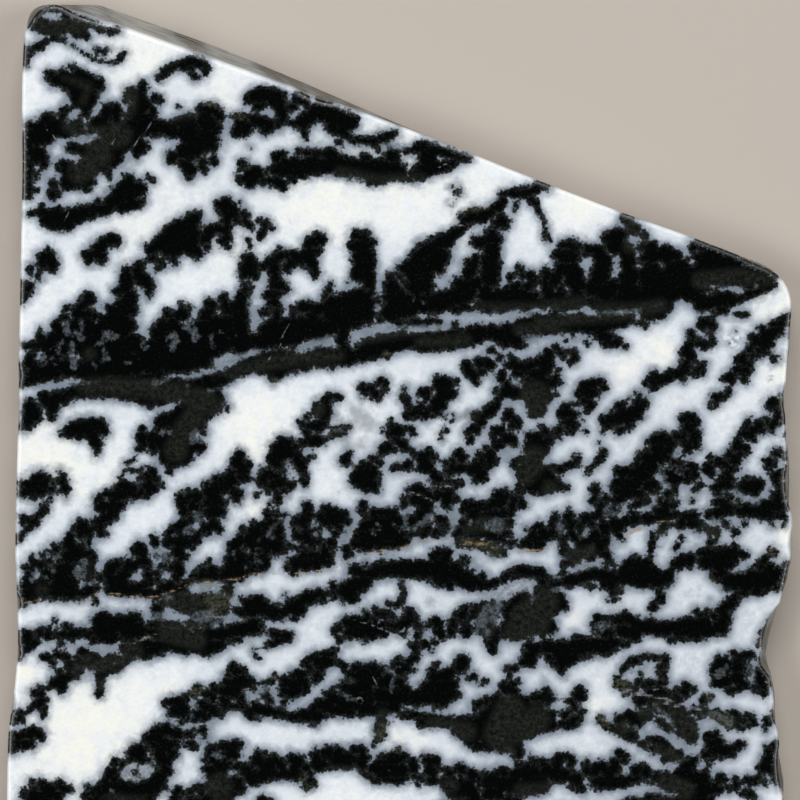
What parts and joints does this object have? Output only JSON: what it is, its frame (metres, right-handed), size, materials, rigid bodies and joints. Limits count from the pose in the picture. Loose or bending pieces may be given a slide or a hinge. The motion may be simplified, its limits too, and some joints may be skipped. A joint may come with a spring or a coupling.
{
  "type": "zebra jasper slab",
  "caption": "Flat sawn slab of black and white banded jasper with one polished face, resting on its back.",
  "frame": {"origin": "under the middle of the slab's bounding box, on the flat back that it rests on", "axes": "+Z out of the polished face, +Y along the slab's length towards the slanted edge, +X across it towards the broken edge"},
  "size_m": [0.0788, 0.0946, 0.006],
  "materials": {
    "zebra_jasper": "polished, black dendritic bands in white chalcedony"
  },
  "bodies": {
    "root": {"slab": "zebra_jasper"}
  },
  "joints": []
}
